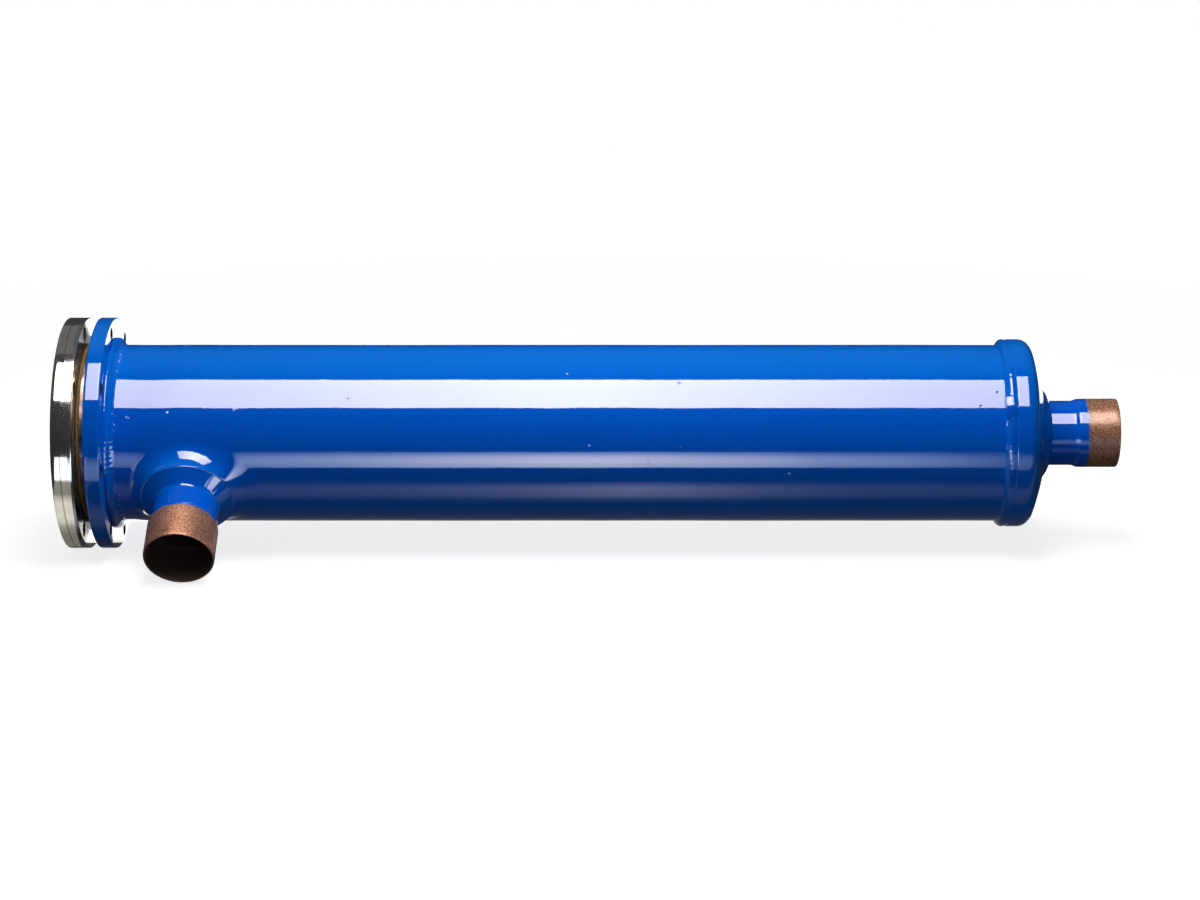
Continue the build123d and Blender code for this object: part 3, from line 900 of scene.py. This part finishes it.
def make_gasket():
    """Flat ring between hub and cover. Its rounded edge swells by a sum of cosines of the angle."""
    s = sizes()
    start, end = -s.hub_height - s.gasket_thickness, -s.hub_height
    outer, edge = s.hub_radius - 0.0006, 0.0002
    line = chain((start, s.tube_bore), (start, outer - edge), (start + edge, outer),
                 (start + 0.001, outer + 0.0001), (end - edge, outer), (end, outer - edge),
                 (end, s.tube_bore))
    angles = round_angles(240)
    points = turned(line, angles)
    swell = 1 + 0.0015 * smooth_noise(3, angles, (5, 40), 10)
    points[1:-1, :, 1:] *= swell[None, :, None]
    ring_piece("cover_seal", points, "cover_gasket",
               [shared("Fibre sheet", fibre_material)])


# Weld beads

def bead(free, buried, angles, ripples, depth, wander, seed, port=False):
    """Turned bead from the points of its free surface and those of its buried one.

    The free surface moves outwards and back in ripples that lie one behind the other round the
    bead, bowed across it, and its toes wander by a sum of cosines of the angle.
    """
    line = np.concatenate([free, buried])
    count = len(free)
    u = np.linspace(0, 1, count)
    tangent = np.gradient(free, axis=0)
    normal = np.stack([-tangent[:, 1], tangent[:, 0]], -1)
    normal /= np.linalg.norm(normal, axis=-1, keepdims=True).clip(1e-9)
    if np.sum((free[count // 2] - line.mean(0)) * normal[count // 2]) < 0:
        normal = -normal
    bow = 1.21 * (2 * u - 1) ** 2
    phase = ripples * angles + bow[:, None] + 1.6 * smooth_noise(seed, angles, (3, 17))
    wave = (0.5 + 0.5 * np.cos(phase)) ** 1.5 - 0.45
    swell = smooth_noise(seed + 1, angles, (2, 23), 9)
    move = np.sin(math.pi * u)[:, None] * (depth * wave + wander * swell)
    profile = np.repeat(line[:, None, :], len(angles), axis=1)
    profile[:count] += move[..., None] * normal[:, None, :]
    return turned(profile, angles, port)


def bead_piece(name, node, points):
    """Finishes a painted weld bead."""
    ring_piece(name, points, node, [paint()], crease=50)


def make_flange_bead():
    """Bead behind the flange: a narrow ridge on the flange's side and a hollow foot.

    Near the top, where the weld ends, the ridge is raised over a few degrees.
    """
    s = sizes()
    t, under = s.flange_thickness, s.tube_radius - 0.0004
    rise = np.array([(0.0, 4.3), (0.7, 4.62), (1.4, 4.6), (2.1, 4.2), (2.7, 3.5), (3.2, 2.7),
                     (3.7, 1.95), (4.3, 1.3), (5.0, 0.8), (5.8, 0.4), (6.6, 0.02)]) / 1000
    at, knots = np.linspace(0, 10, 21), np.arange(11)
    free = run(t + np.interp(at, knots, rise[:, 0]),
               s.tube_radius + np.interp(at, knots, rise[:, 1]))
    angles = round_angles(720)
    points = bead(free, [(t + 0.003, under), (t, under)], angles,
                  ripples=105, depth=0.00016, wander=0.00038, seed=11)
    end_at, before, behind, raised = 103.0, 3.0, 7.0, 0.0016
    turn = np.degrees(angles) - end_at
    end = np.exp(-(turn / np.where(turn > 0, behind, before)) ** 4)
    ridge = np.exp(-((points[..., 0] - t - 0.0024) / 0.0017) ** 2)
    points[1:20, :, 1:] *= (1 + raised * end * ridge / s.tube_radius)[1:20, :, None]
    bead_piece("flange_bead", "flange_weld", points)


def make_cap_bead():
    """Full bead in front of the cap, with the blob where the welder began and stopped.

    The blob is a shallow lens; the bead follows whichever of the two is higher.
    """
    s = sizes()
    f, under = s.cap_face, s.tube_radius - 0.0004
    rise = np.array([(-6.8, 0.02), (-6.3, 0.7), (-5.6, 1.8), (-4.8, 2.7), (-4.0, 3.25),
                     (-3.1, 3.5), (-2.2, 3.5), (-1.3, 3.35), (-0.5, 3.1)]) / 1000
    free = np.vstack([rise + (f, s.tube_radius), (f + 0.0003, s.cap_radius - 0.0006)])
    angles = round_angles(720)
    points = bead(free, [(f - 0.0002, under), (f - 0.0064, under)], angles,
                  ripples=118, depth=0.00006, wander=0.00016, seed=21)
    face = points[:len(free)]
    radius = np.hypot(face[..., 1], face[..., 2])
    along = face[..., 0] - f + 0.0030
    around = (angles - math.radians(145.7)) * s.cap_radius - 0.0044
    lens = s.tube_radius + 0.0046 - along ** 2 / 0.024 - around ** 2 / 0.046
    face[..., 1:] *= (np.maximum(radius, lens) / radius)[..., None]
    bead_piece("cap_bead", "cap_weld", points)


def make_inlet_bead():
    """Bead that closes the neck round the inlet connection: a cone from lip to hollow head."""
    s = sizes()
    hollow, slope, under, top = 0.0030, 222, s.stub_radius - 0.0003, s.neck_top
    head = arc((top + 0.0085, s.stub_radius + hollow + 0.00002), hollow, slope, 270, 8)
    foot = np.array((top - 0.0002, s.neck_radius - 0.0005))
    cone = foot + np.linspace(0, 1, 11)[:-1, None] * (head[0] - foot)
    buried = [(top + 0.004, under), (top - 0.0003, under), (top - 0.0003, s.neck_radius - 0.003)]
    points = bead(np.concatenate([cone, head]), buried, round_angles(480),
                  ripples=46, depth=0.00004, wander=0.00016, seed=31, port=True)
    bead_piece("inlet_bead", "inlet_weld", points)


def crown_centre():
    """Station of the centre of the cap's crown, which the knuckle joins to the skirt."""
    s = sizes()
    reach, lean = s.crown_radius - s.knuckle_radius, s.cap_radius - s.knuckle_radius
    return s.knuckle_start - math.sqrt(reach ** 2 - lean ** 2), reach, lean


def make_outlet_bead():
    """Broad, flat bead between crown and outlet connection: a shallow arc over a chord."""
    s = sizes()
    stub, toe, bulge = s.stub_radius, s.stub_radius + 0.0096, 0.0006

    def crown(radius):
        return crown_centre()[0] + math.sqrt(s.crown_radius ** 2 - radius ** 2)

    foot = np.array([crown(toe) + 0.00002, toe])
    head = np.array([crown(stub) + 0.0040, stub + 0.00002])
    t = np.linspace(0, 1, 11)[:, None]
    chord = head - foot
    outwards = np.array([-chord[1], chord[0]]) / np.linalg.norm(chord)
    free = foot + t * chord + 4 * t * (1 - t) * bulge * outwards
    buried = [(head[0] - 0.0036, stub - 0.0003), (foot[0] - 0.0006, toe - 0.001)]
    points = bead(free, buried, round_angles(480), ripples=40, depth=0.00006, wander=0.00018,
                  seed=41)
    bead_piece("outlet_bead", "outlet_weld", points)


# End cap

def make_cap():
    """Skirt, knuckle and crown, turned with one wall. Beyond the skirt the outside rolls by two
    waves of angle and station."""
    s = sizes()
    r, k, w, edge = s.cap_radius, s.knuckle_radius, s.cap_wall, 0.0009
    centre, reach, lean = crown_centre()
    hole, inside = s.stub_radius + s.clearance, s.tube_radius + s.clearance
    tilt = math.degrees(math.asin(lean / reach))
    span = math.degrees(math.asin(hole / s.crown_radius))
    inner_span = math.degrees(math.asin(hole / (s.crown_radius - w)))
    line = chain(
        arc((centre, 0), s.crown_radius, span, tilt, 26),
        arc((s.knuckle_start, lean), k, tilt, 90, 16),
        run(np.linspace(s.knuckle_start, s.cap_face + edge, 7), r),
        arc((s.cap_face + edge, r - edge), edge, 90, 180, 4),
        (s.cap_face, inside), (s.knuckle_start, inside),
        arc((s.knuckle_start, lean), k - w, 90, tilt, 8),
        arc((centre, 0), s.crown_radius - w, tilt, inner_span, 12))
    angles = round_angles(360)
    points = turned(line, angles)
    x = points[..., 0]
    roll = 0.00006 * np.sin(3 * angles + 160 * x) + 0.00004 * np.cos(7 * angles - 90 * x)
    points[..., 0] += roll * np.clip((x - s.knuckle_start) / 0.006, 0, 1)
    ring_piece("cap_shell", points, "end_cap", [paint()])


# Copper connections

def make_connection(name, node, inner_end, flare, port, paint_edge, shine, rough):
    """Open tube with a soft step out to its socket and a rounded mouth, turned about its axis.

    Its paint ends at paint_edge along that axis.
    """
    s = sizes()
    socket = flare + s.flare_length
    mouth = socket + s.socket_depth
    lip = (s.socket_radius - s.socket_bore) / 2
    t = np.linspace(0, 1, 13)
    ease = t * t * (3 - 2 * t)
    walls = np.linspace(socket, mouth - lip, 10)
    line = chain(
        (inner_end, s.stub_bore), (inner_end, s.stub_radius),
        run(np.linspace(inner_end, flare, 8)[1:-1], s.stub_radius),
        run(flare + t * s.flare_length, s.stub_radius + ease * (s.socket_radius - s.stub_radius)),
        run(walls[1:], s.socket_radius),
        arc((mouth - lip, s.socket_radius - lip), lip, 90, -90, 10),
        run(walls[-2::-1], s.socket_bore),
        run(socket - t * s.flare_length, s.socket_bore - ease * (s.socket_bore - s.stub_bore)))
    origin, direction = (port_frame() if port else shell_frame())[:2]

    def pick(centres):
        station = (centres - origin) @ direction
        radius = np.linalg.norm(centres - origin - station[:, None] * direction, axis=1)
        return radius < np.interp(station, [flare, socket],
                                  [s.stub_radius - 0.0009, s.socket_radius - 0.0010])

    outside = copper_material(name + " copper", origin, direction, paint_edge, shine, rough)
    ring_piece(name, turned(line, round_angles(240), port), node,
               [outside, shared("Dark bore", grained_material)], pick)


# Stage

def stage_material(name, surface):
    """Material of bare nodes: surface takes its tree and returns the shader's output."""
    material = bpy.data.materials.new(name)
    material.use_nodes = True
    tree = material.node_tree
    tree.nodes.clear()
    put(tree, "ShaderNodeOutputMaterial", {"Surface": surface(tree)})
    return material


def stage_sheet(name, points, faces, material):
    """A mesh for the stage, linked to the scene."""
    mesh = bpy.data.meshes.new(name)
    mesh.from_pydata(points, [], faces)
    mesh.materials.append(material)
    sheet = bpy.data.objects.new(name, mesh)
    bpy.context.scene.collection.objects.link(sheet)
    return sheet


def oblong(left, right, near, far):
    """Corners of an oblong along X and Y."""
    return [(left, near), (right, near), (right, far), (left, far)]


def floor_level():
    return float(min(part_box("shell_flange")[0][2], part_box("inlet_connection")[0][2]))


def emission(tree, tint, strength):
    return put(tree, "ShaderNodeEmission", {"Color": tint, "Strength": strength}).outputs[0]


def mix_shaders(tree, factor, a, b):
    return put(tree, "ShaderNodeMixShader", {0: factor, 1: a, 2: b}).outputs[0]


def seen_rays(tree):
    """1 for camera, glossy and transmission rays, 0 for the rest."""
    path = put(tree, "ShaderNodeLightPath").outputs
    seen = maths(tree, "MAXIMUM", path["Is Camera Ray"], path["Is Glossy Ray"])
    return maths(tree, "MAXIMUM", seen, path["Is Transmission Ray"])


def make_floor():
    """White floor that keeps the object's shadow; to bounced light it is darker."""
    z, reach = floor_level(), 30.0
    white = (1.0, 1.0, 1.0, 1.0)

    def diffuse(tree, tint):
        return put(tree, "ShaderNodeBsdfDiffuse", {"Color": tint}).outputs[0]

    def surface(tree):
        away = vector_maths(tree, "DISTANCE", object_coordinates(tree), (0.32, 0.0, z))["Value"]
        near = put(tree, "ShaderNodeAddShader", {0: diffuse(tree, (0.45, 0.45, 0.45, 1.0)),
                                                 1: emission(tree, white, 0.80)}).outputs[0]
        far = ramp(tree, away, 0.45, 1.1)
        shown = mix_shaders(tree, far, near, emission(tree, white, 1.0))
        return mix_shaders(tree, seen_rays(tree), diffuse(tree, (0.16, 0.165, 0.175, 1.0)), shown)

    corners = [(x, y, z) for x, y in oblong(-reach, reach, -reach, reach)]
    stage_sheet("studio_floor", corners, [(0, 1, 2, 3)], stage_material("White floor", surface))


def stops(tree, value, table):
    """Straight lines between (position, strength) pairs."""
    low, high = table[0][0], table[-1][0]
    top = max(strength for _, strength in table)
    band = put(tree, "ShaderNodeValToRGB", {"Fac": ramp(tree, value, low, high)})
    elements = band.color_ramp.elements
    while len(elements) < len(table):
        elements.new(0.5)
    for element, (at, strength) in zip(elements, table):
        element.position = (at - low) / (high - low)
        element.color = rgba([strength / top] * 3)
    return times(tree, band.outputs["Color"], top)


def card(name, points, along, tint, across=None, weak=None, faces=((0, 1, 2, 3),)):
    """A glow that only reflections see. Its strength follows stops along X, times stops along Y
    where those are given; weak is the tint of its weaker stretches, where that differs."""
    def surface(tree):
        x, y, _ = axes(tree, object_coordinates(tree))
        strength = stops(tree, x, along)
        if across:
            strength = times(tree, strength, stops(tree, y, across))
        shade = rgba(tint)
        if weak:
            shade = blend_colour(tree, ramp(tree, strength, 1.0, 8.0), rgba(weak), shade)
        return emission(tree, shade, strength)

    sheet = stage_sheet(name, points, list(faces), stage_material(name, surface))
    for kind in ("camera", "diffuse", "shadow", "transmission", "volume_scatter"):
        setattr(sheet, "visible_" + kind, False)


def make_tent():
    """Half a ball of dark card round everything, for reflections that meet no other card."""
    radius = 6.0
    rows = np.radians(np.linspace(0, 90, 13))[:, None]
    columns = np.radians(np.arange(0, 360, 10))
    ball = np.stack([np.cos(rows) * np.cos(columns), np.cos(rows) * np.sin(columns),
                     np.sin(rows) + 0 * columns], -1)
    skin = Skin()
    skin.sheet(skin.add(radius * ball + (0.323, 0.0, floor_level() + 0.0006)))
    card("dark_tent", skin.points[0].tolist(), [(-9.0, 0.015), (9.0, 0.015)], (0.95, 0.97, 1.0),
         faces=skin.quads[0].tolist())


def make_overhead_cards():
    """The softbox whose reflection is the bright band, and two faint glows behind the shell."""
    level = stage_values().softbox_level
    left, right = -0.72, 1.32
    near, far = (-2.085, 2.133), (-0.22, 3.04)
    card("softbox_card", [(left, *near), (right, *near), (right, *far), (left, *far)],
         [(x, level * share) for x, share in (
             (left, 0.0), (-0.70, 0.58), (-0.48, 0.64), (-0.19, 0.78), (0.17, 0.97), (0.30, 1.0),
             (0.43, 0.93), (0.69, 0.79), (0.82, 0.70), (1.00, 0.65), (1.24, 0.6), (right, 0.0))],
         (1.0, 0.94, 0.86))
    low, high = (1.9, 1.2), (0.35, 2.6)
    for name, left, right, bright, tint in (
            ("rim_glow", -1.5, -0.38, 0.16, (1.0, 0.93, 0.91)),
            ("back_glow", -0.38, 2.2, 0.085, (0.8, 1.0, 1.05))):
        card(name, [(left, *low), (right, *low), (right, *high), (left, *high)],
             [(left, bright), (right, bright)], tint)


def make_table_cards():
    """Cards on the table: front and near strips for the tube's two lower bands, strips and an
    end patch for flange and cover, and the dim table round them."""
    z = floor_level() + 0.0006

    def on_table(name, corners, along, across, tint=(1.0, 0.98, 0.97), weak=None, drop=0.0):
        card(name, [(x, y, z - drop) for x, y in corners], along, tint, across, weak)

    on_table("front_strip", [(-0.070, -0.470), (0.80, -0.470), (0.80, -0.158), (-0.017, -0.158)],
             [(-0.10, 2.3), (0.0, 2.1), (0.063, 3.4), (0.149, 5.5), (0.220, 8.3), (0.292, 10.2),
              (0.335, 10.3), (0.403, 7.9), (0.439, 6.8), (0.475, 4.7), (0.546, 3.3), (0.60, 1.5),
              (0.80, 0.6)],
             [(-0.470, 0.0), (-0.445, 0.18), (-0.353, 0.48), (-0.301, 0.74), (-0.265, 0.93),
              (-0.234, 1.0), (-0.210, 0.99), (-0.188, 0.88), (-0.170, 0.72), (-0.163, 0.6),
              (-0.158, 0.0)],
             (1.0, 1.02, 1.08), weak=(0.85, 1.15, 1.7))
    on_table("near_strip", oblong(-0.0135, 0.80, -0.099, -0.044),
             [(-0.0135, 0.36), (0.10, 0.46), (0.20, 0.74), (0.265, 1.1), (0.30, 1.5), (0.345, 2.0),
              (0.395, 1.37), (0.43, 0.9), (0.495, 0.5), (0.58, 0.38), (0.80, 0.3)],
             [(-0.099, 0.0), (-0.094, 0.28), (-0.089, 0.43), (-0.0835, 0.78), (-0.078, 1.0),
              (-0.073, 1.0), (-0.068, 0.85), (-0.059, 0.62), (-0.055, 0.29), (-0.051, 0.14),
              (-0.044, 0.0)],
             (1.0, 1.0, 1.3))
    on_table("rim_strip", oblong(-0.047, -0.0135, -0.158, -0.020),
             [(-0.05, 1.25), (-0.0135, 1.25)],
             [(-0.158, 0.34), (-0.116, 0.34), (-0.106, 0.72), (-0.097, 0.94), (-0.069, 1.0),
              (-0.060, 0.72), (-0.057, 0.48), (-0.045, 0.24), (-0.020, 0.20)],
             (1.0, 0.96, 0.86))
    on_table("rim_front_strip", [(-0.105, -0.50), (-0.0752, -0.50), (-0.017, -0.158),
                                 (-0.047, -0.158)], [(-0.12, 1.0), (0.0, 1.0)],
             [(-0.50, 0.5), (-0.48, 2.8), (-0.172, 2.8), (-0.160, 0.5)], (1.0, 0.99, 0.97))
    on_table("table_end", [(-0.10, 0.004), (0.017, 0.004), (0.21, 0.95), (-0.10, 0.95)],
             [(-0.1, 1.0), (0.2, 1.0)], [(0.004, 1.6), (0.012, 2.5), (0.9, 3.0)])

    edge = 6.0
    for name, left, right, bright in (
            ("table_far", -edge, -0.10, [(0.0, 0.1), (0.05, 0.3), (0.9, 0.3), (0.95, 0.05)]),
            ("table_left", -0.10, 0.62, [(0.0, 0.1), (0.05, 0.45), (0.2, 1.2), (0.5, 1.6),
                                        (0.9, 1.6), (0.95, 0.05)]),
            ("table_middle", 0.62, 1.05, [(0.49, 0.03), (0.52, 2.5), (0.9, 2.5), (0.95, 0.05)]),
            ("table_right", 1.05, edge, [(0.9, 0.03), (0.95, 0.05)])):
        on_table(name, oblong(left, right, -edge, edge), [(left, 1.0), (right, 1.0)],
                 [(-edge, 0.015), (-0.03, 0.015), *bright, (edge, 0.05)], drop=0.0003)


def soft_lamp(name, rise, distance, width, depth, radiance):
    """Oblong lamp that looks at the shell; its power follows from radiance and area.

    It stays out of reflections, where the cards stand in for it.
    """
    light = bpy.data.lights.new(name, "AREA")
    light.shape = "RECTANGLE"
    light.size = width
    light.size_y = depth
    light.energy = radiance * math.pi * width * depth
    lamp = bpy.data.objects.new(name, light)
    up = math.radians(rise)
    lamp.location = (stage_values().middle, -math.cos(up) * distance, math.sin(up) * distance)
    lamp.rotation_euler = (math.pi / 2 - up, 0.0, 0.0)
    lamp.visible_camera = False
    lamp.visible_glossy = False
    bpy.context.scene.collection.objects.link(lamp)


def make_lamps():
    """Large overhead soft lamp and a weak front lamp."""
    soft_lamp("key_lamp", rise=73, distance=0.8, width=0.5, depth=0.71,
              radiance=stage_values().lamp_level)
    soft_lamp("front_lamp", rise=20, distance=1.6, width=1.6, depth=0.6, radiance=0.5)


def make_world():
    """White to what is seen, dim to bounced light."""
    world = bpy.data.worlds.new("Studio")
    bpy.context.scene.world = world
    world.use_nodes = True
    tree = world.node_tree
    tree.nodes.clear()
    dim, shown = [put(tree, "ShaderNodeBackground", {"Color": tint, "Strength": level}).outputs[0]
                  for tint, level in (((0.9, 0.95, 1, 1), 0.15), ((1, 1, 1, 1), 1.0))]
    put(tree, "ShaderNodeOutputWorld", {"Surface": mix_shaders(tree, seen_rays(tree), dim, shown)})


def make_camera():
    """Camera at the photograph's distance and angle."""
    v = stage_values()
    camera = bpy.data.cameras.new("camera")
    camera.lens = v.lens
    camera.sensor_width = 36.0
    camera.clip_start = 0.05
    camera.clip_end = 100.0
    holder = bpy.data.objects.new("camera", camera)
    e = v.camera_rise
    back = np.array([0.0, -math.cos(e), math.sin(e)])
    up = np.array([0.0, math.sin(e), math.cos(e)])
    holder.location = np.array([v.middle, 0.0, 0.0]) - v.drop * up + v.camera_distance * back
    holder.rotation_euler = (math.pi / 2 - e, 0.0, 0.0)
    bpy.context.scene.collection.objects.link(holder)
    bpy.context.scene.camera = holder


# Operators

class DRIER_OT_tube(Operator):
    """Make the shell tube with its drawn neck"""

    bl_idname = "drier.make_tube"
    bl_label = "Shell tube"

    def execute(self, context):
        make_shell_tube()
        return {"FINISHED"}


class DRIER_OT_flange(Operator):
    """Make the access flange with its hub and bolt holes"""

    bl_idname = "drier.make_flange"
    bl_label = "Access flange"

    def execute(self, context):
        make_flange()
        return {"FINISHED"}


class DRIER_OT_cover(Operator):
    """Make the bare steel cover"""

    bl_idname = "drier.make_cover"
    bl_label = "Cover"

    def execute(self, context):
        make_cover()
        return {"FINISHED"}


class DRIER_OT_gasket(Operator):
    """Make the flat gasket"""

    bl_idname = "drier.make_gasket"
    bl_label = "Gasket"

    def execute(self, context):
        make_gasket()
        return {"FINISHED"}


class DRIER_OT_cap(Operator):
    """Make the dished end cap"""

    bl_idname = "drier.make_cap"
    bl_label = "End cap"

    def execute(self, context):
        make_cap()
        return {"FINISHED"}


class DRIER_OT_beads(Operator):
    """Make the four weld beads"""

    bl_idname = "drier.make_beads"
    bl_label = "Weld beads"

    def execute(self, context):
        make_flange_bead()
        make_cap_bead()
        make_inlet_bead()
        make_outlet_bead()
        return {"FINISHED"}


class DRIER_OT_connections(Operator):
    """Make the two copper connections"""

    bl_idname = "drier.make_connections"
    bl_label = "Copper connections"

    def execute(self, context):
        s = sizes()
        make_connection("outlet_stub", "outlet_connection", s.outlet_inner, s.outlet_flare,
                        port=False, paint_edge=s.outlet_paint, shine=0.11, rough=0.19)
        make_connection("inlet_stub", "inlet_connection", s.inlet_inner, s.inlet_flare,
                        port=True, paint_edge=s.inlet_paint, shine=0.55, rough=0.32)
        return {"FINISHED"}


class DRIER_OT_inside(Operator):
    """Finish the pieces inside the shell"""

    bl_idname = "drier.finish_inside"
    bl_label = "Pieces inside"

    def execute(self, context):
        finish_inside()
        return {"FINISHED"}


class DRIER_OT_stage(Operator):
    """Make the floor, the reflection cards, the lamps and the camera"""

    bl_idname = "drier.make_stage"
    bl_label = "Stage"

    def execute(self, context):
        make_floor()
        make_tent()
        make_overhead_cards()
        make_table_cards()
        make_lamps()
        make_world()
        make_camera()
        context.scene.view_settings.view_transform = "Standard"
        return {"FINISHED"}


class DRIER_PT_shell(Panel):
    """Buttons for the pieces of the shell"""

    bl_label = "Drier Shell"
    bl_idname = "DRIER_PT_shell"
    bl_space_type = "VIEW_3D"
    bl_region_type = "UI"
    bl_category = "Drier Shell"

    def draw(self, context):
        for operator in OPERATORS:
            self.layout.operator(operator.bl_idname)
        for name in GROUPS:
            group = getattr(context.scene, name)
            box = self.layout.box()
            for key in group.__annotations__:
                box.prop(group, key)


GROUPS = {"drier_shell_sizes": DrierShellSizes, "drier_shell_finish": DrierShellFinish,
          "drier_shell_stage": DrierShellStage}
OPERATORS = (DRIER_OT_tube, DRIER_OT_flange, DRIER_OT_cover, DRIER_OT_gasket, DRIER_OT_cap,
             DRIER_OT_beads, DRIER_OT_connections, DRIER_OT_inside, DRIER_OT_stage)
CLASSES = (*GROUPS.values(), *OPERATORS, DRIER_PT_shell)


def register():
    for cls in CLASSES:
        bpy.utils.register_class(cls)
    for name, group in GROUPS.items():
        setattr(bpy.types.Scene, name, PointerProperty(type=group))


def unregister():
    for name in GROUPS:
        delattr(bpy.types.Scene, name)
    for cls in reversed(CLASSES):
        bpy.utils.unregister_class(cls)


def main():
    register()
    for operator in OPERATORS:
        group, name = operator.bl_idname.split(".")
        getattr(getattr(bpy.ops, group), name)()


if __name__ == "__main__":
    main()
